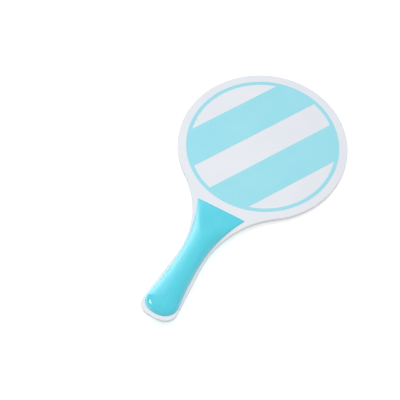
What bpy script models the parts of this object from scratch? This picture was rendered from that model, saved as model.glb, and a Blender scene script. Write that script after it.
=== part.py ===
"""A beach game paddle in metres, lying flat with +Z up and its handle towards -Y.

A round board with a flared neck and a tang carries a striped decal on each face. Two hollow moulded
grip shells clamp the tang, held by three screws that enter from the rear.
"""

import math
from collections import Counter
from dataclasses import dataclass

import bmesh
import bpy
from mathutils import Vector

MM = 0.001

# Board
BLADE_DIAMETER = 185 * MM
BOARD_THICKNESS = 5 * MM
BOARD_EDGE_ROUND = 0.8 * MM
NECK_LENGTH = 63.5 * MM  # blade rim to the tang's waist
HANDLE_LENGTH = 81.5 * MM  # waist to the end of the butt
WAIST_WIDTH = 30 * MM
WAIST_RADIUS = 150 * MM
FLANK_SLANT = math.radians(4.7)
BUTT_CORNER_RADIUS = 13.5 * MM
BUTT_END_RADIUS = 70 * MM

# Decals: a ring joined by two bands, with bare board between and beside the bands
DECAL_BORDER = 9.4 * MM  # bare board between the ring and the blade's rim
DECAL_THICKNESS = 0.25 * MM
ADHESIVE_LAYER = 0.1 * MM
RING_WIDTH = 3.8 * MM
BAND_WIDTH = 40.9 * MM
BARE_STRIPE = 32.2 * MM
BAND_SLANT = math.radians(60.9)  # rising to the right when the handle points down

# Grip shells
GRIP_FROM_DECAL = 10.4 * MM  # ring to the straight top edge of the grip
GRIP_WAIST_BELOW = 4 * MM  # the grip is narrowest this far below the tang's waist
GRIP_BUTT_FROM_END = 23.5 * MM  # where its margin at the butt is taken
GRIP_TOP_MARGIN = 7.9 * MM
GRIP_WAIST_MARGIN = 2.4 * MM
GRIP_BUTT_MARGIN = 1.9 * MM
GRIP_END_MARGIN = 4.1 * MM
GRIP_CORNER_RADIUS = 14.5 * MM
GRIP_END_RADIUS = 26 * MM
GRIP_TOP_HEIGHT = 1.6 * MM
GRIP_EDGE_ROUND = 0.7 * MM  # along the top edge
GRIP_WAIST_HEIGHT = 9.6 * MM
GRIP_BUTT_HEIGHT = 10.4 * MM
GRIP_RAMP_LENGTH = 44 * MM  # from the top edge to full height
GRIP_DOME_LENGTH = 23 * MM  # the part of the butt that rounds off
GRIP_WALL = 1.8 * MM
CAVITY_HEIGHT = 1.2 * MM  # the least height inside where the cavity starts
RIB_THICKNESS = 1.4 * MM

# Screws and the posts that take them
SCREW_DIAMETER = 3.5 * MM
SCREW_CORE_DIAMETER = 2.5 * MM
SCREW_PITCH = 1.4 * MM
SCREW_BITE = 6.2 * MM  # length inside the front shell
SCREW_POINT = 1.6 * MM
SCREW_HEAD_DIAMETER = 6.6 * MM
SCREW_HEAD_HEIGHT = 2.3 * MM
SCREW_HEAD_ROUND = 1.1 * MM
RECESS_SPAN = 3.6 * MM
RECESS_WIDTH = 0.9 * MM
RECESS_DEPTH = 1.3 * MM
SCREW_FROM_GRIP_TOP = 36 * MM
SCREW_FROM_GRIP_END = 21 * MM
POST_WALL = 2.4 * MM
SEAT_THICKNESS = 3.2 * MM  # plastic between the board and a screw head

# Fits
CONTACT_GAP = 0.2 * MM
THREAD_CLEARANCE = 0.15 * MM
SHANK_CLEARANCE = 0.3 * MM
BOARD_HOLE_CLEARANCE = 0.5 * MM
HEAD_CLEARANCE = 0.4 * MM
BORE_END_CLEARANCE = 0.5 * MM

# Fineness of the curves
CHORD_SAG = 0.03 * MM
SECTION_SIDES = 20
FLARE_STATIONS = 14
PALM_STATIONS = 10
DOME_STATIONS = 9
EDGE_STATIONS = 3
HOLE_SIDES = 24
SCREW_SIDES = 16
HEAD_ROWS = 3
ROWS_PER_PITCH = 4
FLAT_POWER = 3.2  # cross-section at the grip's top edge
ROUND_POWER = 2.25  # cross-section along the handle
DOME_POWER = 2.1
CUT_OVERRUN = 1 * MM
NEARLY = 1e-5
SMOOTH_ANGLE = math.radians(35)

# Places worked out from the sizes above, from the centre of the blade
BLADE_RADIUS = BLADE_DIAMETER / 2
DECAL_RADIUS = BLADE_RADIUS - DECAL_BORDER
WAIST_Y = -(BLADE_RADIUS + NECK_LENGTH)
END_Y = WAIST_Y - HANDLE_LENGTH
GRIP_TOP_Y = -(DECAL_RADIUS + GRIP_FROM_DECAL)
GRIP_WAIST_Y = WAIST_Y - GRIP_WAIST_BELOW
GRIP_BUTT_Y = END_Y + GRIP_BUTT_FROM_END
GRIP_END_Y = END_Y + GRIP_END_MARGIN
DOME_Y = GRIP_END_Y + GRIP_DOME_LENGTH
FACE_Z = BOARD_THICKNESS / 2
SEAT_Z = FACE_Z + CONTACT_GAP
TOP_Z = SEAT_Z + GRIP_BUTT_HEIGHT
NECK_SCREW_Y = GRIP_TOP_Y - SCREW_FROM_GRIP_TOP
BUTT_SCREW_Y = GRIP_END_Y + SCREW_FROM_GRIP_END
SCREW_YS = {
    "neck": NECK_SCREW_Y,
    "waist": (NECK_SCREW_Y + BUTT_SCREW_Y) / 2,
    "butt": BUTT_SCREW_Y,
}
SHANK_RADIUS = SCREW_DIAMETER / 2
HEAD_RADIUS = SCREW_HEAD_DIAMETER / 2
BORE_RADIUS = SHANK_RADIUS + THREAD_CLEARANCE
CLEARANCE_RADIUS = SHANK_RADIUS + SHANK_CLEARANCE
BOARD_HOLE_RADIUS = SHANK_RADIUS + BOARD_HOLE_CLEARANCE
COUNTERBORE_RADIUS = HEAD_RADIUS + HEAD_CLEARANCE
FRONT_POST_RADIUS = BORE_RADIUS + POST_WALL
REAR_POST_RADIUS = COUNTERBORE_RADIUS + GRIP_WALL
HEAD_SEAT_Z = SEAT_Z + SEAT_THICKNESS + CONTACT_GAP
SCREW_LENGTH = HEAD_SEAT_Z + SEAT_Z + SCREW_BITE


@dataclass
class Arc:
    """Part of a circle in the board's plane, from one angle to another."""

    centre: Vector
    radius: float
    start: float
    end: float

    def at(self, angle):
        return self.centre + self.radius * Vector((math.cos(angle), math.sin(angle)))

    def points(self):
        step = 2 * math.acos(1 - CHORD_SAG / self.radius)
        count = max(2, math.ceil(abs(self.end - self.start) / step))
        return [self.at(self.start + (self.end - self.start) * i / count) for i in range(count + 1)]

    def miss(self, y):
        """How far a place lies above or below the arc."""
        low, high = sorted((self.at(self.start).y, self.at(self.end).y))
        return max(low - y, y - high, 0)

    def half_width(self, y):
        side = math.copysign(1, math.cos((self.start + self.end) / 2))
        return self.centre.x + side * math.sqrt(max(self.radius**2 - (y - self.centre.y) ** 2, 0))


@dataclass
class Line:
    """A straight stretch in the board's plane."""

    start: Vector
    end: Vector

    def points(self):
        return [self.start, self.end]

    def miss(self, y):
        return max(self.end.y - y, y - self.start.y, 0)

    def half_width(self, y):
        return blend(self.start.x, self.end.x, (y - self.start.y) / (self.end.y - self.start.y))


def angle_of(vector):
    return math.atan2(vector.y, vector.x)


def tangent_radius(waist, point):
    """Radius of the circle through a point that runs along the axis at the waist."""
    spread = point.x - waist.x
    return ((point - waist).length_squared) / (2 * spread)


def below_waist(waist, radius, slant, end_y, corner_radius, end_radius):
    """One side of a handle: a bend that leaves the waist, a straight flank, the corner and the end."""
    bend = Arc(waist + Vector((radius, 0)), radius, math.pi, math.pi + slant)
    top = bend.at(bend.end)
    down = Vector((math.sin(slant), -math.cos(slant)))
    outward = Vector((math.cos(slant), math.sin(slant)))
    end_centre = Vector((0, end_y + end_radius))
    reach = top - corner_radius * outward - end_centre
    along = reach.dot(down)
    length = math.sqrt(along**2 - reach.length_squared + (end_radius - corner_radius) ** 2) - along
    flank = Line(top, top + length * down)
    corner_centre = flank.end - corner_radius * outward
    corner_end = angle_of(corner_centre - end_centre)
    return [
        bend,
        flank,
        Arc(corner_centre, corner_radius, slant, corner_end),
        Arc(end_centre, end_radius, corner_end, -math.pi / 2),
    ]


def board_arcs():
    """One side of the board, from the top of the blade to the end of the butt."""
    waist = Vector((WAIST_WIDTH / 2, WAIST_Y))
    neck_radius = (waist.length_squared - BLADE_RADIUS**2) / (2 * (BLADE_RADIUS - waist.x))
    neck_centre = waist + Vector((neck_radius, 0))
    meeting = angle_of(neck_centre)
    return [
        Arc(Vector((0, 0)), BLADE_RADIUS, math.pi / 2, meeting),
        Arc(neck_centre, neck_radius, meeting + math.pi, math.pi),
        *below_waist(waist, WAIST_RADIUS, FLANK_SLANT, END_Y, BUTT_CORNER_RADIUS, BUTT_END_RADIUS),
    ]


def half_width(arcs, y):
    return min(arcs, key=lambda arc: arc.miss(y)).half_width(y)


def grip_arcs():
    """One side of the grip's outline, set in from the board's by its margins."""
    board = board_arcs()
    top = Vector((half_width(board, GRIP_TOP_Y) - GRIP_TOP_MARGIN, GRIP_TOP_Y))
    waist = Vector((half_width(board, GRIP_WAIST_Y) - GRIP_WAIST_MARGIN, GRIP_WAIST_Y))
    butt = Vector((half_width(board, GRIP_BUTT_Y) - GRIP_BUTT_MARGIN, GRIP_BUTT_Y))
    bend_radius = tangent_radius(waist, butt)
    slant = math.asin((waist.y - butt.y) / bend_radius)
    flare_radius = tangent_radius(waist, top)
    flare_centre = waist + Vector((flare_radius, 0))
    return [
        Arc(flare_centre, flare_radius, angle_of(top - flare_centre), math.pi),
        *below_waist(waist, bend_radius, slant, GRIP_END_Y, GRIP_CORNER_RADIUS, GRIP_END_RADIUS),
    ]


def smooth_step(share):
    share = min(max(share, 0), 1)
    return share * share * (3 - 2 * share)


def blend(first, last, share):
    return first + (last - first) * share


def rise(y):
    """How far up the grip's ramp a place is, from 0 at its top edge to 1 at full height."""
    return smooth_step((GRIP_TOP_Y - y) / GRIP_RAMP_LENGTH)


def fall(share, power):
    """Height of a rounded end, from 1 where it starts to 0 at its tip."""
    return (1 - min(max(share, 0), 1) ** power) ** (1 / power)


def crown_height(y):
    """Height of the grip's crown above the plane that it seats on."""
    palm = smooth_step((GRIP_WAIST_Y - y) / (GRIP_WAIST_Y - DOME_Y))
    height = blend(GRIP_TOP_HEIGHT, blend(GRIP_WAIST_HEIGHT, GRIP_BUTT_HEIGHT, palm), rise(y))
    edge = 1 - fall(1 - (GRIP_TOP_Y - y) / GRIP_EDGE_ROUND, 2)
    return (height - GRIP_EDGE_ROUND * edge) * fall((DOME_Y - y) / GRIP_DOME_LENGTH, DOME_POWER)


def section(y, width, height, foot=0.0):
    """A closed cross-section of the grip: a flattened half round standing on the seat plane."""
    power = blend(FLAT_POWER, ROUND_POWER, rise(y))
    points = []
    for i in range(SECTION_SIDES + 1):
        angle = math.pi * i / SECTION_SIDES
        across = math.copysign(abs(math.cos(angle)) ** (2 / power), math.cos(angle))
        points.append(Vector((width * across, y, height * math.sin(angle) ** (2 / power))))
    points[0].z = points[-1].z = -foot
    return points


def spread(start, end, count):
    return [blend(start, end, i / count) for i in range(count)]


def grip_stations():
    """Places along the grip, close together on its rounded top edge and on its dome."""
    quarter = math.pi / 2
    edge = [GRIP_EDGE_ROUND * (1 - math.cos(angle)) for angle in spread(0, quarter, EDGE_STATIONS)]
    flare = spread(GRIP_TOP_Y - GRIP_EDGE_ROUND, GRIP_WAIST_Y, FLARE_STATIONS)
    palm = spread(GRIP_WAIST_Y, DOME_Y, PALM_STATIONS)
    dome = [GRIP_DOME_LENGTH * math.sin(angle) for angle in spread(0, quarter, DOME_STATIONS)]
    return [GRIP_TOP_Y - drop for drop in edge] + flare + palm + [DOME_Y - drop for drop in dome]


def inner_section(arcs, y):
    """The cross-section of the cavity at a place, or None where the grip is too thin for one."""
    beyond = max(y - GRIP_WALL, GRIP_END_Y)
    width = min(half_width(arcs, y), half_width(arcs, beyond)) - GRIP_WALL
    height = min(crown_height(y), crown_height(beyond)) - GRIP_WALL
    if min(width, height) < CAVITY_HEIGHT:
        return None
    return section(y, width, height, CUT_OVERRUN)


def mesh_object(name, shape):
    """An object holding the bmesh, with its faces turned outwards."""
    bmesh.ops.recalc_face_normals(shape, faces=shape.faces)
    mesh = bpy.data.meshes.new(name)
    shape.to_mesh(mesh)
    shape.free()
    made = bpy.data.objects.new(name, mesh)
    bpy.context.collection.objects.link(made)
    return made


def loft(name, rings, tip=None):
    """A closed skin over rings of equal count, ending flat or at a tip."""
    shape = bmesh.new()
    loops = [[shape.verts.new(point) for point in ring] for ring in rings]
    count = len(rings[0])
    for near, far in zip(loops, loops[1:]):
        for i in range(count):
            after = (i + 1) % count
            shape.faces.new((near[i], near[after], far[after], far[i]))
    shape.faces.new(loops[0])
    if tip is None:
        shape.faces.new(loops[-1])
    else:
        point = shape.verts.new(tip)
        for i in range(count):
            shape.faces.new((loops[-1][i], loops[-1][(i + 1) % count], point))
    return mesh_object(name, shape)


def circle(radius, z, sides, centre=(0, 0)):
    angles = [2 * math.pi * (i + 0.5) / sides for i in range(sides)]
    return [
        Vector((centre[0] + radius * math.cos(a), centre[1] + radius * math.sin(a), z)) for a in angles
    ]


def post(name, y, radius, low, high):
    return loft(name, [circle(radius, z, HOLE_SIDES, (0, y)) for z in (low, high)])


def box(name, low, high):
    corners = [(low[0], low[1]), (high[0], low[1]), (high[0], high[1]), (low[0], high[1])]
    return loft(name, [[Vector((x, y, z)) for x, y in corners] for z in (low[2], high[2])])


def cut(target, tools):
    """Cuts each tool out of the target, which then carries the tools with it."""
    for tool in tools:
        tool.parent = target
        tool.hide_render = True
        tool.display_type = "WIRE"
        modifier = target.modifiers.new("cut_" + tool.name, "BOOLEAN")
        modifier.operation = "DIFFERENCE"
        modifier.solver = "EXACT"
        modifier.object = tool


def srgb(red, green, blue):
    """A linear colour from 8-bit sRGB values."""
    shares = [value / 255 for value in (red, green, blue)]
    return [s / 12.92 if s <= 0.04045 else ((s + 0.055) / 1.055) ** 2.4 for s in shares] + [1]


def material(name, colour, roughness, metallic=0.0):
    made = bpy.data.materials.new(name)
    made.use_nodes = True
    shader = made.node_tree.nodes["Principled BSDF"]
    shader.inputs["Base Color"].default_value = colour
    shader.inputs["Roughness"].default_value = roughness
    shader.inputs["Metallic"].default_value = metallic
    return made


def finish(made, frame, look):
    made.parent = frame
    made.data.materials.append(look)
    made.data.shade_smooth()
    made.data.set_sharp_from_angle(angle=SMOOTH_ANGLE)


def blade_board():
    right = []
    for arc in board_arcs():
        right += arc.points()[:-1]
    tip = Vector((0, END_Y))
    left = [Vector((-point.x, point.y)) for point in reversed(right[1:])]
    outline = right + [tip] + left
    faces = [[Vector((point.x, point.y, z)) for point in outline] for z in (-FACE_Z, FACE_Z)]
    board = loft("blade_board", faces)
    edge = board.modifiers.new("edge_round", "BEVEL")
    edge.width = BOARD_EDGE_ROUND
    edge.segments = 2
    edge.limit_method = "ANGLE"
    edge.angle_limit = math.radians(60)
    reach = FACE_Z + CUT_OVERRUN
    for key, y in SCREW_YS.items():
        cut(board, [post(f"board_hole_{key}", y, BOARD_HOLE_RADIUS, -reach, reach)])
    return board


def prism(name, points, tiles, low, high):
    """A flat solid of tiles, each a list of indices into the points, with walls round their free edges."""
    shape = bmesh.new()
    levels = [[shape.verts.new((point.x, point.y, z)) for point in points] for z in (low, high)]
    for level in levels:
        for tile in tiles:
            shape.faces.new([level[i] for i in tile])
    uses = Counter(frozenset(pair) for tile in tiles for pair in zip(tile, tile[1:] + tile[:1]))
    for edge in [edge for edge, count in uses.items() if count == 1]:
        a, b = edge
        shape.faces.new((levels[0][a], levels[0][b], levels[1][b], levels[1][a]))
    return mesh_object(name, shape)


def decal(name):
    """The ring and its two bands as one sheet. The bands' edges are chords of the ring's inner circle."""
    inner = DECAL_RADIUS - RING_WIDTH
    near = BARE_STRIPE / 2
    across = BAND_SLANT + math.pi / 2
    turns = [math.acos(offset / inner) for offset in (near, near + BAND_WIDTH)]
    corners = [across + side * turn + half for half in (0, math.pi) for turn in turns for side in (-1, 1)]
    corners = sorted(corner % math.tau for corner in corners)
    centre = Vector((0, 0))
    angles = []
    for start, end in zip(corners, corners[1:] + [corners[0] + math.tau]):
        angles += [angle_of(point) for point in Arc(centre, DECAL_RADIUS, start, end).points()[:-1]]
    count = len(angles)
    points = [Arc(centre, radius, 0, 0).at(angle) for radius in (inner, DECAL_RADIUS) for angle in angles]
    after = [(i + 1) % count for i in range(count)]
    tiles = [[i, after[i], after[i] + count, i + count] for i in range(count)]
    for half in (0, math.pi):
        bearings = [(angle - across - half + math.pi) % math.tau - math.pi for angle in angles]
        band = [i for i in range(count) if turns[1] - NEARLY < abs(bearings[i]) < turns[0] + NEARLY]
        tiles.append(sorted(band, key=lambda i: bearings[i]))
    low = FACE_Z + ADHESIVE_LAYER
    return prism(name, points, tiles, low, low + DECAL_THICKNESS)


def grip_body(name):
    arcs = grip_arcs()
    rings = [section(y, half_width(arcs, y), crown_height(y)) for y in grip_stations()]
    return loft(name, rings, Vector((0, GRIP_END_Y, 0)))


def grip_cavity(name, post_radius):
    """The space inside a shell, leaving its cross ribs and screw posts standing."""
    arcs = grip_arcs()
    rings = [ring for ring in (inner_section(arcs, y) for y in grip_stations()) if ring]
    cavity = loft(f"{name}_cavity", rings)
    low = -2 * CUT_OVERRUN
    high = GRIP_BUTT_HEIGHT + CUT_OVERRUN
    ys = list(SCREW_YS.values())
    posts = [post(f"{name}_post_{key}", y, post_radius, low, high) for key, y in SCREW_YS.items()]
    ribs = []
    for i, (upper, lower) in enumerate(zip(ys, ys[1:])):
        middle = (upper + lower) / 2
        near = Vector((-BLADE_RADIUS, middle - RIB_THICKNESS / 2, low))
        far = Vector((BLADE_RADIUS, middle + RIB_THICKNESS / 2, high))
        ribs.append(box(f"{name}_rib_{i}", near, far))
    cut(cavity, ribs + posts)
    return cavity


def front_grip_shell():
    shell = grip_body("front_grip_shell")
    depth = SCREW_BITE + BORE_END_CLEARANCE
    bores = [post(f"bore_{key}", y, BORE_RADIUS, -CUT_OVERRUN, depth) for key, y in SCREW_YS.items()]
    cut(shell, [grip_cavity("front", FRONT_POST_RADIUS)] + bores)
    shell.location.z = SEAT_Z
    return shell


def rear_grip_shell():
    """The same moulding turned over, with a counterbored hole for each screw."""
    shell = grip_body("rear_grip_shell")
    top = GRIP_BUTT_HEIGHT + CUT_OVERRUN
    holes = []
    for key, y in SCREW_YS.items():
        holes.append(post(f"clearance_{key}", y, CLEARANCE_RADIUS, -CUT_OVERRUN, top))
        holes.append(post(f"counterbore_{key}", y, COUNTERBORE_RADIUS, SEAT_THICKNESS, top))
    cut(shell, [grip_cavity("rear", REAR_POST_RADIUS)] + holes)
    shell.rotation_euler.y = math.pi
    shell.location.z = -SEAT_Z
    return shell


def screw_rings():
    """Rings of a self-tapping screw from the crown of its head to its point, along +Z."""
    rings = []
    for i in range(HEAD_ROWS + 1):
        angle = math.pi / 2 * (1 - i / HEAD_ROWS)
        radius = HEAD_RADIUS - SCREW_HEAD_ROUND * (1 - math.cos(angle))
        drop = SCREW_HEAD_ROUND * (1 - math.sin(angle))
        rings.append(circle(radius, drop - SCREW_HEAD_HEIGHT, SCREW_SIDES))
    rings.append(circle(HEAD_RADIUS, 0, SCREW_SIDES))
    rings.append(circle(SHANK_RADIUS, 0, SCREW_SIDES))
    core = SCREW_CORE_DIAMETER / 2
    plain = HEAD_SEAT_Z + SEAT_Z - SCREW_PITCH
    threaded = SCREW_LENGTH - SCREW_POINT - plain
    rows = math.ceil(threaded / SCREW_PITCH * ROWS_PER_PITCH)
    rings.append(circle(SHANK_RADIUS, plain, SCREW_SIDES))
    for row in range(1, rows + 1):
        z = plain + threaded * row / rows
        ring = []
        for i in range(SCREW_SIDES):
            turn = i / SCREW_SIDES
            phase = ((z - plain) / SCREW_PITCH - turn) % 1
            radius = blend(core, SHANK_RADIUS, abs(2 * phase - 1) ** 2)
            angle = math.tau * turn
            ring.append(Vector((radius * math.cos(angle), radius * math.sin(angle), z)))
        rings.append(ring)
    return rings


def grip_screw(key, y):
    screw = loft(f"grip_screw_{key}", screw_rings(), Vector((0, 0, SCREW_LENGTH)))
    top = -SCREW_HEAD_HEIGHT
    long, short = RECESS_SPAN / 2, RECESS_WIDTH / 2
    for side, (x_reach, y_reach) in {"x": (long, short), "y": (short, long)}.items():
        low = Vector((-x_reach, -y_reach, top - CUT_OVERRUN))
        high = Vector((x_reach, y_reach, top + RECESS_DEPTH))
        cut(screw, [box(f"recess_{key}_{side}", low, high)])
    screw.location = (0, y, -HEAD_SEAT_Z)
    return screw


def main():
    for old in list(bpy.data.objects):
        bpy.data.objects.remove(old)
    frame = bpy.data.objects.new("paddle_frame", None)
    bpy.context.collection.objects.link(frame)
    frame.location = (0, -(BLADE_RADIUS + END_Y) / 2, TOP_Z)

    lacquer = material("white_lacquer", srgb(240, 241, 244), 0.35)
    aqua = material("aqua_vinyl", srgb(163, 224, 236), 0.4)
    plastic = material("turquoise_plastic", srgb(92, 208, 226), 0.25)
    steel = material("zinc_steel", srgb(190, 193, 198), 0.35, 1.0)

    finish(blade_board(), frame, lacquer)
    finish(decal("front_decal"), frame, aqua)
    rear_decal = decal("rear_decal")
    rear_decal.rotation_euler.y = math.pi
    finish(rear_decal, frame, aqua)
    finish(front_grip_shell(), frame, plastic)
    finish(rear_grip_shell(), frame, plastic)
    for key, y in SCREW_YS.items():
        finish(grip_screw(key, y), frame, steel)


main()
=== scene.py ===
"""The looks of a beach game paddle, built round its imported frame.

Lengths are in metres, +Z is up and the handle points to -Y. Shapes are drawn from the centre of the
blade, as the frame's own solids are, and then moved to where the frame has that centre.
"""

import math
from dataclasses import dataclass

import bmesh
import bpy
from mathutils import Matrix, Vector


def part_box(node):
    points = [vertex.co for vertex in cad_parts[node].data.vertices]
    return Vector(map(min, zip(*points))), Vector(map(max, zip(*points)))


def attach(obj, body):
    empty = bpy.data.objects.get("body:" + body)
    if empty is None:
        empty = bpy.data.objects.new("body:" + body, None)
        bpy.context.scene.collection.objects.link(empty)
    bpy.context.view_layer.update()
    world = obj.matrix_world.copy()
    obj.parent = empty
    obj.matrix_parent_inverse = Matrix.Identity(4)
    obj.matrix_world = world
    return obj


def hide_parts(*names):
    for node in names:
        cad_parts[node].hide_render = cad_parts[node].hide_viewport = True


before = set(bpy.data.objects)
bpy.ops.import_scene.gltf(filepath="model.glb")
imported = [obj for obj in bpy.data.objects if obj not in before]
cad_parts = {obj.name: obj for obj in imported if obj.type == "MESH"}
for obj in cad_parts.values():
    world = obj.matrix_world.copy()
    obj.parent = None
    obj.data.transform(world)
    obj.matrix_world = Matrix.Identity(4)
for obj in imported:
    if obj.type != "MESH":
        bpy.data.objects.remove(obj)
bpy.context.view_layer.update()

MM = 0.001

# Board
BLADE_RADIUS = 92.5 * MM
BOARD_THICKNESS = 5 * MM
BOARD_EDGE_ROUND = 0.8 * MM
WAIST_Y = -156 * MM
WAIST_WIDTH = 30 * MM
WAIST_RADIUS = 150 * MM
FLANK_SLANT = math.radians(4.7)
END_Y = -237.5 * MM
BUTT_CORNER_RADIUS = 13.5 * MM
BUTT_END_RADIUS = 70 * MM

# Decals: a ring joined by two bands
DECAL_RADIUS = 83.1 * MM
RING_WIDTH = 3.8 * MM
BAND_WIDTH = 40.9 * MM
BARE_STRIPE = 32.2 * MM
BAND_SLANT = math.radians(60.9)
FILM_GAP = 0.01 * MM
FILM_TOP = 0.35 * MM
FILM_EDGE = 0.1 * MM

# Grips
GRIP_TOP_Y = -93.5 * MM
GRIP_WAIST_Y = -160 * MM
GRIP_BUTT_Y = -214 * MM
GRIP_END_Y = -233.4 * MM
GRIP_TOP_MARGIN = 7.9 * MM
GRIP_WAIST_MARGIN = 2.4 * MM
GRIP_BUTT_MARGIN = 1.9 * MM
GRIP_CORNER_RADIUS = 14.5 * MM
GRIP_END_RADIUS = 26 * MM
GRIP_TOP_HEIGHT = 1.6 * MM
GRIP_EDGE_ROUND = 0.7 * MM
GRIP_FOOT_ROUND = 0.3 * MM
GRIP_WAIST_HEIGHT = 9.6 * MM
GRIP_BUTT_HEIGHT = 10.4 * MM
GRIP_RAMP_LENGTH = 44 * MM
GRIP_DOME_LENGTH = 23 * MM
GRIP_WALL = 1.8 * MM
CAVITY_HEIGHT = 1.2 * MM
RIB_THICKNESS = 1.4 * MM
FLAT_POWER = 3.2
ROUND_POWER = 2.25
DOME_POWER = 2.1

# Screws, their holes and their posts
SCREW_YS = {"neck": -129.5 * MM, "waist": -170.95 * MM, "butt": -212.4 * MM}
SHANK_RADIUS = 1.75 * MM
CORE_RADIUS = 1.25 * MM
SCREW_PITCH = 1.4 * MM
SCREW_BITE = 6.2 * MM
SCREW_POINT = 1.6 * MM
HEAD_RADIUS = 3.3 * MM
HEAD_HEIGHT = 2.3 * MM
HEAD_ROUND = 1.1 * MM
HEAD_RIM_ROUND = 0.2 * MM
RECESS_TOP = (1.8 * MM, 0.45 * MM)
RECESS_FLOOR = (1.1 * MM, 0.35 * MM)
RECESS_DEPTH = 1.3 * MM
BORE_RADIUS = 1.9 * MM
BORE_DEPTH = 6.7 * MM
CLEARANCE_RADIUS = 2.05 * MM
BOARD_HOLE_RADIUS = 2.25 * MM
COUNTERBORE_RADIUS = 3.7 * MM
COUNTERBORE_FLARE = 0.45 * MM
FRONT_POST_RADIUS = 4.3 * MM
REAR_POST_RADIUS = 5.5 * MM
SEAT_THICKNESS = 3.2 * MM
CONTACT_GAP = 0.2 * MM

# Looks: most of a noise lies between these values
NOISE_LOW = 0.3
NOISE_HIGH = 0.7

# Fineness of the curves
CHORD_SAG = 0.006 * MM
ROUND_ROWS = 5
SECTION_SIDES = 56
INNER_SIDES = 24
EDGE_STATIONS = 6
FLARE_STATIONS = 34
PALM_STATIONS = 22
DOME_STATIONS = 26
HOLE_SIDES = 64
DECAL_SIDES = 300
OPENING_SIDES = 60
SCREW_SIDES = 48
ROWS_PER_PITCH = 12
CUT_OVERRUN = 1 * MM
SHARP_ANGLE = math.radians(32)

# Where the parts lie
FACE_Z = BOARD_THICKNESS / 2
SEAT_Z = FACE_Z + CONTACT_GAP
DECAL_FACE_Z = FACE_Z + FILM_TOP
DOME_Y = GRIP_END_Y + GRIP_DOME_LENGTH
HEAD_SEAT_Z = SEAT_Z + SEAT_THICKNESS + CONTACT_GAP
SCREW_LENGTH = HEAD_SEAT_Z + SEAT_Z + SCREW_BITE
board_low, board_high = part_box("blade_board")
BLADE_CENTRE = Vector((0, board_high.y - BLADE_RADIUS, (board_low.z + board_high.z) / 2))

# Photograph: 400 x 400 pixels, its camera worked out from the ring on the blade
IMAGE_PIXELS = 400
FOCAL_PIXELS = 1553.6
SENSOR_MM = 36
TILT = math.radians(30.13)
LEAN = math.radians(2.83)
HANDLE_TURN = math.radians(-116.76)
CENTRE_PIXEL = (262.69, 145.03)
CENTRE_DEPTH = 1.68565

# Light: the card lies on the floor beside the handle, and the strip hangs close over the butt
UP = Vector((0, 0, 1))
AHEAD = Vector((0, 1, 0))
PADDLE = Vector((0, 0, 0))
BUTT = Vector((-0.012, -0.155, 0.021))
CARD_PLACE = Vector((-0.085, -0.11, 0.006))
LAMPS = [  # name, what it lights, place, what it faces, upright, width and height, watts
    ("top", "diffuse", Vector((0, 0.12, 2.4)), PADDLE, AHEAD, (2, 2), 20),
    ("key", "diffuse", Vector((-0.5, -0.3, 0.85)), PADDLE, UP, (0.5, 0.3), 1.8),
    ("strip", "gloss", Vector((-0.072, -0.194, 0.075)), BUTT, UP, (0.045, 0.006), 0.04),
    ("window", "gloss", Vector((-1.71, 0.92, 1.44)), PADDLE, Vector((0.48, 0, 1)), (1.5, 3.6), 47),
    ("sky", "gloss", Vector((-0.6, 1.45, 1.81)), PADDLE, UP, (1.4, 1.2), 1.2),
    ("card", "gloss", CARD_PLACE, CARD_PLACE + UP, AHEAD, (0.13, 0.28), 0.15),
]
FOOT_STRENGTH = 2
TOP_STRENGTH = 0
WORLD_STRENGTH = 0.55
BACKDROP_STRENGTH = 1
FLOOR_SIZE = 12
FLOOR_COLOUR = (0.9, 0.9, 0.9, 1)
FLOOR_LIFT = 0.5


@dataclass
class Arc:
    """Part of a circle in the board's plane. Its solid side is inside the circle, or outside it."""

    centre: Vector
    radius: float
    start: float
    end: float
    solid_inside: bool

    def at(self, angle, inset=0.0):
        radius = self.radius - inset if self.solid_inside else self.radius + inset
        return self.centre + radius * Vector((math.cos(angle), math.sin(angle)))

    def points(self, inset):
        step = 2 * math.acos(1 - CHORD_SAG / self.radius)
        count = max(2, math.ceil(abs(self.end - self.start) / step))
        angles = [blend(self.start, self.end, i / count) for i in range(count + 1)]
        return [self.at(angle, inset) for angle in angles]

    def miss(self, y):
        low, high = sorted((self.at(self.start).y, self.at(self.end).y))
        return max(low - y, y - high, 0)

    def half_width(self, y):
        reach = math.sqrt(max(self.radius**2 - (y - self.centre.y) ** 2, 0))
        return self.centre.x + (reach if self.solid_inside else -reach)


@dataclass
class Line:
    """A straight stretch in the board's plane, with its solid side to the left."""

    start: Vector
    end: Vector

    def points(self, inset):
        along = (self.end - self.start).normalized()
        shift = inset * Vector((along.y, -along.x))
        return [self.start + shift, self.end + shift]

    def miss(self, y):
        return max(self.end.y - y, y - self.start.y, 0)

    def half_width(self, y):
        return blend(self.start.x, self.end.x, (y - self.start.y) / (self.end.y - self.start.y))


def blend(first, last, share):
    return first + (last - first) * share


def spread(start, end, count):
    return [blend(start, end, i / count) for i in range(count)]


def smooth_step(share):
    share = min(max(share, 0), 1)
    return share * share * (3 - 2 * share)


def fall(share, power):
    """Height of a rounded end, from 1 where it starts to 0 at its tip."""
    return (1 - min(max(share, 0), 1) ** power) ** (1 / power)


def angle_of(vector):
    return math.atan2(vector.y, vector.x)


def tangent_radius(waist, point):
    """Radius of the circle through a point that runs along the axis at the waist."""
    return (point - waist).length_squared / (2 * (point.x - waist.x))


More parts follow.
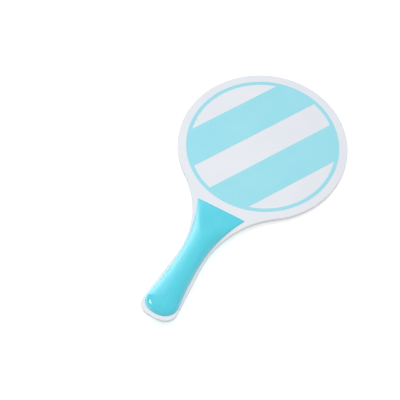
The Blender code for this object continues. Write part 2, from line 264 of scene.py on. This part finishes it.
def below_waist(waist, radius, slant, end_y, corner_radius, end_radius):
    """One side of a handle: a bend that leaves the waist, a straight flank, the corner and the end."""
    bend = Arc(waist + Vector((radius, 0)), radius, math.pi, math.pi + slant, False)
    top = bend.at(bend.end)
    down = Vector((math.sin(slant), -math.cos(slant)))
    outward = Vector((math.cos(slant), math.sin(slant)))
    end_centre = Vector((0, end_y + end_radius))
    reach = top - corner_radius * outward - end_centre
    along = reach.dot(down)
    length = math.sqrt(along**2 - reach.length_squared + (end_radius - corner_radius) ** 2) - along
    flank = Line(top, top + length * down)
    corner_centre = flank.end - corner_radius * outward
    corner_end = angle_of(corner_centre - end_centre)
    return [
        bend,
        flank,
        Arc(corner_centre, corner_radius, slant, corner_end, True),
        Arc(end_centre, end_radius, corner_end, -math.pi / 2, True),
    ]


def board_arcs():
    """One side of the board, from the top of the blade to the end of the butt."""
    waist = Vector((WAIST_WIDTH / 2, WAIST_Y))
    neck_radius = (waist.length_squared - BLADE_RADIUS**2) / (2 * (BLADE_RADIUS - waist.x))
    neck_centre = waist + Vector((neck_radius, 0))
    meeting = angle_of(neck_centre)
    return [
        Arc(Vector((0, 0)), BLADE_RADIUS, math.pi / 2, meeting, True),
        Arc(neck_centre, neck_radius, meeting + math.pi, math.pi, False),
        *below_waist(waist, WAIST_RADIUS, FLANK_SLANT, END_Y, BUTT_CORNER_RADIUS, BUTT_END_RADIUS),
    ]


def half_width(arcs, y):
    return min(arcs, key=lambda arc: arc.miss(y)).half_width(y)


def grip_arcs():
    """One side of the grip's outline, set in from the board's by its margins."""
    board = board_arcs()
    top = Vector((half_width(board, GRIP_TOP_Y) - GRIP_TOP_MARGIN, GRIP_TOP_Y))
    waist = Vector((half_width(board, GRIP_WAIST_Y) - GRIP_WAIST_MARGIN, GRIP_WAIST_Y))
    butt = Vector((half_width(board, GRIP_BUTT_Y) - GRIP_BUTT_MARGIN, GRIP_BUTT_Y))
    bend_radius = tangent_radius(waist, butt)
    slant = math.asin((waist.y - butt.y) / bend_radius)
    flare_radius = tangent_radius(waist, top)
    flare_centre = waist + Vector((flare_radius, 0))
    return [
        Arc(flare_centre, flare_radius, angle_of(top - flare_centre), math.pi, False),
        *below_waist(waist, bend_radius, slant, GRIP_END_Y, GRIP_CORNER_RADIUS, GRIP_END_RADIUS),
    ]


def rise(y):
    """How far up the grip's ramp a place is, from 0 at its top edge to 1 at full height."""
    return smooth_step((GRIP_TOP_Y - y) / GRIP_RAMP_LENGTH)


def crown_height(y):
    """Height of the grip's crown above the plane that it seats on."""
    palm = smooth_step((GRIP_WAIST_Y - y) / (GRIP_WAIST_Y - DOME_Y))
    height = blend(GRIP_TOP_HEIGHT, blend(GRIP_WAIST_HEIGHT, GRIP_BUTT_HEIGHT, palm), rise(y))
    edge = 1 - fall(1 - (GRIP_TOP_Y - y) / GRIP_EDGE_ROUND, 2)
    return (height - GRIP_EDGE_ROUND * edge) * fall((DOME_Y - y) / GRIP_DOME_LENGTH, DOME_POWER)


def half_round(y, width, height, sides, start_z=0.0):
    """The flattened half round of the grip's cross-section at a place, from right to left."""
    power = blend(FLAT_POWER, ROUND_POWER, rise(y))
    points = []
    for i in range(sides + 1):
        angle = math.pi * i / sides
        across = math.copysign(abs(math.cos(angle)) ** (2 / power), math.cos(angle))
        up = math.sin(angle) ** (2 / power) if 0 < i < sides else 0
        points.append(Vector((width * across, y, blend(start_z, height, up))))
    return points


def outer_section(y, width, height):
    """The grip's cross-section with a small round where it meets the board."""
    foot = min(GRIP_FOOT_ROUND, width / 3, height / 3)
    points = half_round(y, width, height, SECTION_SIDES, foot)
    rounding = []
    for angle in spread(-math.pi / 2, 0, ROUND_ROWS):
        rounding.append((width - foot + foot * math.cos(angle), foot + foot * math.sin(angle)))
    right = [Vector((x, y, z)) for x, z in rounding]
    left = [Vector((-x, y, z)) for x, z in reversed(rounding)]
    return right + points + left


def inner_section(arcs, y):
    """The cross-section of the cavity at a place, or None where the grip is too thin for one."""
    beyond = max(y - GRIP_WALL, GRIP_END_Y)
    width = min(half_width(arcs, y), half_width(arcs, beyond)) - GRIP_WALL
    height = min(crown_height(y), crown_height(beyond)) - GRIP_WALL
    if min(width, height) < CAVITY_HEIGHT:
        return None
    points = half_round(y, width, height, INNER_SIDES)
    points[0].z = points[-1].z = -CUT_OVERRUN
    return points


def grip_stations():
    """Places along the grip, close together on its rounded top edge and on its dome."""
    quarter = math.pi / 2
    edge = [GRIP_EDGE_ROUND * (1 - math.cos(angle)) for angle in spread(0, quarter, EDGE_STATIONS)]
    flare = spread(GRIP_TOP_Y - GRIP_EDGE_ROUND, GRIP_WAIST_Y, FLARE_STATIONS)
    palm = spread(GRIP_WAIST_Y, DOME_Y, PALM_STATIONS)
    dome = [GRIP_DOME_LENGTH * math.sin(angle) for angle in spread(0, quarter, DOME_STATIONS)]
    return [GRIP_TOP_Y - drop for drop in edge] + flare + palm + [DOME_Y - drop for drop in dome]


def loft(name, rings, tip=None):
    """A closed skin over rings of equal count, ending flat or at a tip. Flat ends stay flat-shaded."""
    shape = bmesh.new()
    loops = [[shape.verts.new(point) for point in ring] for ring in rings]
    count = len(rings[0])
    for near, far in zip(loops, loops[1:]):
        for i in range(count):
            after = (i + 1) % count
            shape.faces.new((near[i], near[after], far[after], far[i]))
    if tip:
        point = shape.verts.new(tip)
        for i in range(count):
            shape.faces.new((loops[-1][i], loops[-1][(i + 1) % count], point))
    for face in shape.faces:
        face.smooth = True
    shape.faces.new(loops[0])
    if not tip:
        shape.faces.new(loops[-1])
    bmesh.ops.recalc_face_normals(shape, faces=shape.faces)
    mesh = bpy.data.meshes.new(name)
    shape.to_mesh(mesh)
    shape.free()
    made = bpy.data.objects.new(name, mesh)
    bpy.context.scene.collection.objects.link(made)
    return made


def circle(radius, z, sides, centre_y=0.0):
    angles = [math.tau * (i + 0.5) / sides for i in range(sides)]
    return [Vector((radius * math.cos(a), centre_y + radius * math.sin(a), z)) for a in angles]


def post(y, radius, low, high):
    return loft("post", [circle(radius, z, HOLE_SIDES, y) for z in (low, high)])


def box(low, high):
    corners = [(low[0], low[1]), (high[0], low[1]), (high[0], high[1]), (low[0], high[1])]
    return loft("box", [[Vector((x, y, z)) for x, y in corners] for z in (low[2], high[2])])


def cut(target, tools):
    """Cuts the tools out of the target for good and throws them away."""
    for tool in tools:
        modifier = target.modifiers.new("cut", "BOOLEAN")
        modifier.operation = "DIFFERENCE"
        modifier.solver = "EXACT"
        modifier.object = tool
    graph = bpy.context.evaluated_depsgraph_get()
    result = bpy.data.meshes.new_from_object(target.evaluated_get(graph))
    target.modifiers.clear()
    target.data = result
    for tool in tools:
        bpy.data.objects.remove(tool)


def make_board():
    arcs = board_arcs()
    rings = []
    quarter = math.pi / 2
    for side in (-1, 1):
        rows = []
        for angle in [quarter * i / ROUND_ROWS for i in range(ROUND_ROWS + 1)]:
            inset = BOARD_EDGE_ROUND * (1 - math.cos(angle))
            z = FACE_Z - BOARD_EDGE_ROUND * (1 - math.sin(angle))
            right = [point for arc in arcs for point in arc.points(inset)[:-1]]
            tip = Vector((0, END_Y + inset))
            left = [Vector((-point.x, point.y)) for point in reversed(right[1:])]
            rows.append([Vector((point.x, point.y, side * z)) for point in right + [tip] + left])
        rings += reversed(rows) if side < 0 else rows
    board = loft("board", rings)
    reach = FACE_Z + CUT_OVERRUN
    cut(board, [post(y, BOARD_HOLE_RADIUS, -reach, reach) for y in SCREW_YS.values()])
    return board


def opening(turns, grow):
    """Outline of a bare part of a decal, grown all round, from the bearings of its arcs' ends."""
    across = BAND_SLANT + math.pi / 2
    radius = DECAL_RADIUS - RING_WIDTH + grow
    points = []
    for start, end in turns(radius, grow):
        for angle in spread(start, end, OPENING_SIDES) + [end]:
            points.append(radius * Vector((math.cos(across + angle), math.sin(across + angle))))
    return points


def stripe_turns(radius, grow):
    turn = math.acos((BARE_STRIPE / 2 + grow) / radius)
    return [(math.pi - turn, turn), (-turn, turn - math.pi)]


def segment_turns(radius, grow):
    turn = math.acos((BARE_STRIPE / 2 + BAND_WIDTH - grow) / radius)
    return [(turn, -turn)]


def far_segment_turns(radius, grow):
    return [(math.pi + start, math.pi + end) for start, end in segment_turns(radius, grow)]


def make_decal(name, turned):
    """A film cut to a ring and two bands, its upper edges broken."""
    low = FACE_Z + FILM_GAP
    rims = [(0, low), (0, DECAL_FACE_Z - FILM_EDGE), (FILM_EDGE, DECAL_FACE_Z)]
    decal = loft(name, [circle(DECAL_RADIUS - inset, z, DECAL_SIDES) for inset, z in rims])
    walls = [
        (0, low - CUT_OVERRUN),
        (0, DECAL_FACE_Z - FILM_EDGE),
        (FILM_EDGE + CUT_OVERRUN, DECAL_FACE_Z + CUT_OVERRUN),
    ]
    tools = []
    for turns in (stripe_turns, segment_turns, far_segment_turns):
        rings = []
        for grow, z in walls:
            rings.append([Vector((point.x, point.y, z)) for point in opening(turns, grow)])
        tools.append(loft("opening", rings))
    cut(decal, tools)
    if turned:
        decal.data.transform(Matrix.Rotation(math.pi, 4, "Y"))
    return decal


def grip_body(name):
    arcs = grip_arcs()
    rings = [outer_section(y, half_width(arcs, y), crown_height(y)) for y in grip_stations()]
    return loft(name, rings, Vector((0, GRIP_END_Y, 0)))


def grip_cavity(post_radius):
    """The space inside a shell, leaving its cross ribs and screw posts standing."""
    arcs = grip_arcs()
    sections = [inner_section(arcs, y) for y in grip_stations()]
    cavity = loft("cavity", [section for section in sections if section])
    low = -2 * CUT_OVERRUN
    high = GRIP_BUTT_HEIGHT + CUT_OVERRUN
    ys = list(SCREW_YS.values())
    tools = [post(y, post_radius, low, high) for y in ys]
    for upper, lower in zip(ys, ys[1:]):
        middle = (upper + lower) / 2
        near = (-BLADE_RADIUS, middle - RIB_THICKNESS / 2, low)
        far = (BLADE_RADIUS, middle + RIB_THICKNESS / 2, high)
        tools.append(box(near, far))
    cut(cavity, tools)
    return cavity


def counterbore(y):
    """The seat of a screw head, with a mouth that opens out a little at the crown."""
    crown = crown_height(y)
    levels = [
        (COUNTERBORE_RADIUS, SEAT_THICKNESS),
        (COUNTERBORE_RADIUS, crown - COUNTERBORE_FLARE),
        (COUNTERBORE_RADIUS + COUNTERBORE_FLARE / 3, crown - COUNTERBORE_FLARE / 3),
        (COUNTERBORE_RADIUS + COUNTERBORE_FLARE, crown),
        (COUNTERBORE_RADIUS + 2 * COUNTERBORE_FLARE, crown + CUT_OVERRUN),
    ]
    return loft("counterbore", [circle(radius, z, HOLE_SIDES, y) for radius, z in levels])


def make_front_grip():
    grip = grip_body("front_grip")
    bores = [post(y, BORE_RADIUS, -CUT_OVERRUN, BORE_DEPTH) for y in SCREW_YS.values()]
    cut(grip, [grip_cavity(FRONT_POST_RADIUS)] + bores)
    grip.data.transform(Matrix.Translation((0, 0, SEAT_Z)))
    return grip


def make_rear_grip():
    grip = grip_body("rear_grip")
    top = GRIP_BUTT_HEIGHT + CUT_OVERRUN
    holes = [post(y, CLEARANCE_RADIUS, -CUT_OVERRUN, top) for y in SCREW_YS.values()]
    seats = [counterbore(y) for y in SCREW_YS.values()]
    cut(grip, [grip_cavity(REAR_POST_RADIUS)] + holes + seats)
    turned = Matrix.Rotation(math.pi, 4, "Y")
    grip.data.transform(Matrix.Translation((0, 0, -SEAT_Z)) @ turned)
    return grip


def screw_rings():
    """Rings of a self-tapping screw from the crown of its head to its point, along +Z."""
    quarter = math.pi / 2
    rings = []
    for i in range(2 * ROUND_ROWS + 1):
        angle = quarter * (1 - i / (2 * ROUND_ROWS))
        radius = HEAD_RADIUS - HEAD_ROUND * (1 - math.cos(angle))
        rings.append(circle(radius, HEAD_ROUND * (1 - math.sin(angle)) - HEAD_HEIGHT, SCREW_SIDES))
    for angle in [quarter * i / ROUND_ROWS for i in range(ROUND_ROWS + 1)]:
        radius = HEAD_RADIUS - HEAD_RIM_ROUND * (1 - math.cos(angle))
        rings.append(circle(radius, -HEAD_RIM_ROUND * (1 - math.sin(angle)), SCREW_SIDES))
    rings.append(circle(SHANK_RADIUS, 0, SCREW_SIDES))
    plain = HEAD_SEAT_Z + SEAT_Z - SCREW_PITCH
    threaded = SCREW_LENGTH - SCREW_POINT - plain
    rows = math.ceil(threaded / SCREW_PITCH * ROWS_PER_PITCH)
    rings.append(circle(SHANK_RADIUS, plain, SCREW_SIDES))
    for row in range(1, rows + 1):
        z = plain + threaded * row / rows
        ring = []
        for i in range(SCREW_SIDES):
            turn = (i + 0.5) / SCREW_SIDES
            phase = ((z - plain) / SCREW_PITCH - turn) % 1
            radius = blend(CORE_RADIUS, SHANK_RADIUS, abs(2 * phase - 1) ** 2)
            angle = math.tau * turn
            ring.append(Vector((radius * math.cos(angle), radius * math.sin(angle), z)))
        rings.append(ring)
    return rings


def cross(span, width, z):
    """A plus shape, its arms reaching to span on each side and width to each side of their middle."""
    quadrant = [(span, width), (width, width), (width, span)]
    points = []
    for turn in range(4):
        turned = Matrix.Rotation(math.pi / 2 * turn, 2)
        for x, y in quadrant:
            place = turned @ Vector((x, y))
            points.append(Vector((place.x, place.y, z)))
    return points


def make_screw(key, y):
    screw = loft(f"screw_{key}", screw_rings(), Vector((0, 0, SCREW_LENGTH)))
    top = -HEAD_HEIGHT
    slope = [(last - first) / RECESS_DEPTH for first, last in zip(RECESS_FLOOR, RECESS_TOP)]
    mouth = [reach + rate * CUT_OVERRUN for reach, rate in zip(RECESS_TOP, slope)]
    rings = [cross(*mouth, top - CUT_OVERRUN), cross(*RECESS_FLOOR, top + RECESS_DEPTH)]
    cut(screw, [loft("recess", rings)])
    screw.data.transform(Matrix.Translation((0, y, -HEAD_SEAT_Z)))
    return screw


def srgb(red, green, blue):
    """A linear colour from 8-bit sRGB values."""
    shares = [value / 255 for value in (red, green, blue)]
    return [s / 12.92 if s <= 0.04045 else ((s + 0.055) / 1.055) ** 2.4 for s in shares] + [1]


class Look:
    """A procedural material: a Principled shader and the nodes that feed it, at real scale."""

    def __init__(self, name, **constants):
        self.material = bpy.data.materials.new(name)
        self.material.use_nodes = True
        self.tree = self.material.node_tree
        self.shader = self.tree.nodes["Principled BSDF"]
        for socket, value in constants.items():
            self.shader.inputs[socket.replace("_", " ")].default_value = value
        self.place = self.tree.nodes.new("ShaderNodeTexCoord").outputs["Object"]

    def add(self, kind, **settings):
        node = self.tree.nodes.new(kind)
        for key, value in settings.items():
            setattr(node, key, value)
        return node

    def feed(self, source, target):
        self.tree.links.new(source, target)

    def noise(self, grain, detail, stretch=(1, 1, 1)):
        """Noise whose features are about the grain's size, in metres, drawn out by the stretch."""
        mapping = self.add("ShaderNodeMapping")
        mapping.inputs["Scale"].default_value = [1 / s for s in stretch]
        self.feed(self.place, mapping.inputs["Vector"])
        noise = self.add("ShaderNodeTexNoise")
        noise.inputs["Scale"].default_value = 1 / grain
        noise.inputs["Detail"].default_value = detail
        self.feed(mapping.outputs["Vector"], noise.inputs["Vector"])
        return noise.outputs["Fac"]

    def ramp(self, source, first, last, start=NOISE_LOW, end=NOISE_HIGH):
        """A colour that goes from first to last as a value goes from start to end."""
        ramp = self.add("ShaderNodeValToRGB")
        stops = zip(ramp.color_ramp.elements, (start, end), (first, last))
        for element, place, colour in stops:
            element.position = place
            element.color = colour
        self.feed(source, ramp.inputs["Fac"])
        return ramp.outputs["Color"]

    def span(self, source, first, last, start=NOISE_LOW, end=NOISE_HIGH):
        """A number that goes from first to last as a value goes from start to end."""
        node = self.add("ShaderNodeMapRange")
        limits = {"From Min": start, "From Max": end, "To Min": first, "To Max": last}
        for socket, value in limits.items():
            node.inputs[socket].default_value = value
        self.feed(source, node.inputs["Value"])
        return node.outputs["Result"]

    def math(self, operation, *values):
        node = self.add("ShaderNodeMath", operation=operation)
        for socket, value in zip(node.inputs, values):
            if isinstance(value, (int, float)):
                socket.default_value = value
            else:
                self.feed(value, socket)
        return node.outputs["Value"]

    def mix(self, share, first, second, kind="MIX"):
        node = self.add("ShaderNodeMix", data_type="RGBA", blend_type=kind)
        sockets = [s for s in node.inputs if s.enabled]
        for socket, value in zip(sockets, (share, first, second)):
            if isinstance(value, bpy.types.NodeSocket):
                self.feed(value, socket)
            else:
                socket.default_value = value
        return [s for s in node.outputs if s.enabled][0]

    def bump(self, height, depth, strength, under=None):
        """A bump of the given depth in metres, over an earlier one if there is one."""
        node = self.add("ShaderNodeBump")
        node.inputs["Strength"].default_value = strength
        node.inputs["Distance"].default_value = depth
        self.feed(height, node.inputs["Height"])
        if under:
            self.feed(under, node.inputs["Normal"])
        return node.outputs["Normal"]

    def finish(self, **sockets):
        for socket, source in sockets.items():
            self.feed(source, self.shader.inputs[socket.replace("_", " ")])
        return self.material


def lacquer_look():
    """White satin lacquer on fibreboard: faint clouding, orange peel, and fibres on the edge."""
    look = Look("white_lacquered_board", Specular_IOR_Level=0.5)
    cloud = look.noise(grain=45 * MM, detail=3)
    face = look.ramp(cloud, srgb(230, 234, 241), srgb(234, 238, 244))
    fibre = look.noise(grain=0.6 * MM, detail=3, stretch=(6, 6, 0.7))
    edge = look.ramp(fibre, srgb(219, 220, 221), srgb(234, 235, 236))
    normal = look.add("ShaderNodeNewGeometry").outputs["Normal"]
    split = look.add("ShaderNodeSeparateXYZ")
    look.feed(normal, split.inputs["Vector"])
    upright = look.math("ABSOLUTE", split.outputs["Z"])
    on_edge = look.span(upright, 1, 0, start=0.35, end=0.95)
    colour = look.mix(on_edge, face, edge)
    peel = look.noise(grain=1.2 * MM, detail=1)
    polish = look.span(look.noise(grain=20 * MM, detail=4), 0.3, 0.42)
    roughness = look.math("ADD", polish, look.math("MULTIPLY", on_edge, 0.12))
    surface = look.bump(peel, depth=0.05 * MM, strength=0.35)
    fibres = look.math("MULTIPLY", fibre, on_edge)
    surface = look.bump(fibres, depth=0.1 * MM, strength=0.6, under=surface)
    return look.finish(Base_Color=colour, Roughness=roughness, Normal=surface)


def vinyl_look():
    """Aqua vinyl film: slightly uneven colour with a fine cast grain."""
    look = Look("aqua_vinyl", Specular_IOR_Level=0.5)
    cloud = look.noise(grain=30 * MM, detail=3)
    colour = look.ramp(cloud, srgb(155, 225, 239), srgb(160, 228, 241))
    grain = look.noise(grain=0.5 * MM, detail=2)
    speckle = look.ramp(grain, (0.95, 0.96, 0.965, 1), (1, 1, 1, 1))
    colour = look.mix(1.0, colour, speckle, "MULTIPLY")
    roughness = look.span(look.noise(grain=12 * MM, detail=4), 0.36, 0.48)
    surface = look.bump(grain, depth=0.03 * MM, strength=0.4)
    return look.finish(Base_Color=colour, Roughness=roughness, Normal=surface)


def plastic_look():
    """Glossy moulded turquoise plastic: faint flow lines along the handle and a fine polish texture."""
    look = Look("turquoise_plastic", Specular_IOR_Level=0.5, IOR=1.57)
    flow = look.noise(grain=6 * MM, detail=3, stretch=(1, 7, 1))
    colour = look.ramp(flow, srgb(72, 209, 229), srgb(80, 213, 232))
    ripple = look.noise(grain=12 * MM, detail=2, stretch=(1, 3, 1))
    roughness = look.span(look.noise(grain=8 * MM, detail=4), 0.14, 0.2)
    grain = look.noise(grain=0.4 * MM, detail=2)
    surface = look.bump(ripple, depth=0.1 * MM, strength=0.25)
    surface = look.bump(grain, depth=0.005 * MM, strength=0.3, under=surface)
    return look.finish(Base_Color=colour, Roughness=roughness, Normal=surface)


def steel_look():
    """Bright zinc plate: bluish and yellowish patches, fine turning marks."""
    look = Look("zinc_steel", Metallic=1.0)
    patches = look.noise(grain=2 * MM, detail=3)
    colour = look.ramp(patches, srgb(186, 191, 200), srgb(204, 203, 196), start=0.35, end=0.65)
    marks = look.noise(grain=0.3 * MM, detail=3, stretch=(1, 1, 0.3))
    roughness = look.span(marks, 0.22, 0.38)
    surface = look.bump(marks, depth=0.02 * MM, strength=0.5)
    return look.finish(Base_Color=colour, Roughness=roughness, Normal=surface)


def place_piece(piece, node, look):
    """Puts a piece where the frame has its node, with its finish, in the node's stead."""
    piece.data.transform(Matrix.Translation(BLADE_CENTRE))
    piece.data.set_sharp_from_angle(angle=SHARP_ANGLE)
    piece.data.materials.clear()
    piece.data.materials.append(look)
    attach(piece, "root")
    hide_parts(node)


def camera_axes():
    """The turn from the camera's axes to the frame's."""
    right = Vector((math.cos(LEAN), -math.sin(LEAN), 0))
    level = Vector((math.sin(LEAN), math.cos(LEAN), 0))
    away = math.cos(TILT) * level - Vector((0, 0, math.sin(TILT)))
    face = right.cross(away)
    handle = math.cos(HANDLE_TURN) * right + math.sin(HANDLE_TURN) * away
    side = -math.sin(HANDLE_TURN) * right + math.cos(HANDLE_TURN) * away
    return Matrix((side, -handle, face))


def make_camera():
    axes = camera_axes()
    camera = bpy.data.cameras.new("camera")
    camera.sensor_width = SENSOR_MM
    camera.lens = SENSOR_MM * FOCAL_PIXELS / IMAGE_PIXELS
    across, down = [(pixel - IMAGE_PIXELS / 2) / FOCAL_PIXELS for pixel in CENTRE_PIXEL]
    seen = Vector((across, -down, -1)) * CENTRE_DEPTH
    centre = BLADE_CENTRE + Vector((0, 0, DECAL_FACE_Z))
    made = bpy.data.objects.new("camera", camera)
    made.matrix_world = Matrix.Translation(centre - axes @ seen) @ axes.to_4x4()
    bpy.context.scene.collection.objects.link(made)
    bpy.context.scene.camera = made


def fade(light):
    """Lets a lamp's strength run from twice its mean at its foot to none at its top."""
    light.use_nodes = True
    tree = light.node_tree
    place = tree.nodes.new("ShaderNodeNewGeometry")
    height = tree.nodes.new("ShaderNodeSeparateXYZ")
    strength = tree.nodes.new("ShaderNodeMapRange")
    strength.inputs["To Min"].default_value = FOOT_STRENGTH
    strength.inputs["To Max"].default_value = TOP_STRENGTH
    tree.links.new(place.outputs["Parametric"], height.inputs["Vector"])
    tree.links.new(height.outputs["Y"], strength.inputs["Value"])
    tree.links.new(strength.outputs["Result"], tree.nodes["Emission"].inputs["Strength"])


def make_lamp(grips, name, lights, place, target, upright, size, watts):
    """A flat lamp that faces its target, with its second side along the upright as far as can be.

    One for gloss shows only in the grips, so that the flat faces stay clear of glare from every side.
    """
    light = bpy.data.lights.new(name, "AREA")
    light.shape = "RECTANGLE"
    light.size, light.size_y = size
    light.energy = watts
    made = bpy.data.objects.new(name, light)
    back = (place - target).normalized()
    side = upright.cross(back).normalized()
    turn = Matrix((side, back.cross(side), back)).transposed().to_4x4()
    made.matrix_world = Matrix.Translation(place) @ turn
    made.visible_camera = False
    if lights == "gloss":
        fade(light)
        made.visible_diffuse = False
        made.light_linking.receiver_collection = grips
    else:
        made.visible_glossy = False
    bpy.context.scene.collection.objects.link(made)


def seen_share(tree):
    """1 for rays that show the backdrop: from the camera, in a mirror or through glass."""
    path = tree.nodes.new("ShaderNodeLightPath")
    share = path.outputs["Is Camera Ray"]
    for name in ("Is Glossy Ray", "Is Transmission Ray"):
        either = tree.nodes.new("ShaderNodeMath")
        either.operation = "MAXIMUM"
        tree.links.new(share, either.inputs[0])
        tree.links.new(path.outputs[name], either.inputs[1])
        share = either.outputs["Value"]
    return share


def make_world():
    """Even white light from all round, and a white backdrop."""
    world = bpy.data.worlds.new("studio")
    world.use_nodes = True
    tree = world.node_tree
    background = tree.nodes["Background"]
    background.inputs["Color"].default_value = (1, 1, 1, 1)
    strength = tree.nodes.new("ShaderNodeMapRange")
    strength.inputs["To Min"].default_value = WORLD_STRENGTH
    strength.inputs["To Max"].default_value = BACKDROP_STRENGTH
    tree.links.new(seen_share(tree), strength.inputs["Value"])
    tree.links.new(strength.outputs["Result"], background.inputs["Strength"])
    bpy.context.scene.world = world


def floor_look():
    """A matt white floor that looks pure white where nothing shades it."""
    made = bpy.data.materials.new("floor")
    made.use_nodes = True
    tree = made.node_tree
    shader = tree.nodes["Principled BSDF"]
    shader.inputs["Base Color"].default_value = FLOOR_COLOUR
    shader.inputs["Roughness"].default_value = 1
    shader.inputs["Specular IOR Level"].default_value = 0
    shader.inputs["Emission Color"].default_value = (1, 1, 1, 1)
    lift = tree.nodes.new("ShaderNodeMath")
    lift.operation = "MULTIPLY"
    lift.inputs[1].default_value = FLOOR_LIFT
    tree.links.new(seen_share(tree), lift.inputs[0])
    tree.links.new(lift.outputs["Value"], shader.inputs["Emission Strength"])
    return made


def make_floor(rear_grip):
    """A floor that touches the rear grip's crown and the far edge of the blade, as the paddle lies."""
    far = BLADE_CENTRE + Vector((0, BLADE_RADIUS - BOARD_EDGE_ROUND, -FACE_Z))
    points = [vertex.co for vertex in rear_grip.data.vertices]
    slope = max((far.z - point.z) / (far.y - point.y) for point in points)
    reach = FLOOR_SIZE / 2
    mesh = bpy.data.meshes.new("floor")
    corners = [(-reach, -reach), (reach, -reach), (reach, reach), (-reach, reach)]
    mesh.from_pydata([(x, y, far.z + slope * (y - far.y)) for x, y in corners], [], [(0, 1, 2, 3)])
    mesh.materials.append(floor_look())
    floor = bpy.data.objects.new("floor", mesh)
    bpy.context.scene.collection.objects.link(floor)


def main():
    make_camera()
    make_world()
    bpy.context.scene.view_settings.view_transform = "Standard"

    lacquer = lacquer_look()
    vinyl = vinyl_look()
    plastic = plastic_look()
    steel = steel_look()
    place_piece(make_board(), "blade_board", lacquer)
    front_grip = make_front_grip()
    place_piece(front_grip, "front_grip_shell", plastic)
    rear_grip = make_rear_grip()
    place_piece(rear_grip, "rear_grip_shell", plastic)
    grips = bpy.data.collections.new("grips")
    grips.objects.link(front_grip)
    grips.objects.link(rear_grip)
    for lamp in LAMPS:
        make_lamp(grips, *lamp)
    for key, y in SCREW_YS.items():
        place_piece(make_screw(key, y), f"grip_screw_{key}", steel)
    for side in ("front", "rear"):
        film = make_decal(f"{side}_film", turned=side == "rear")
        place_piece(film, f"{side}_decal", vinyl)
    make_floor(rear_grip)


main()
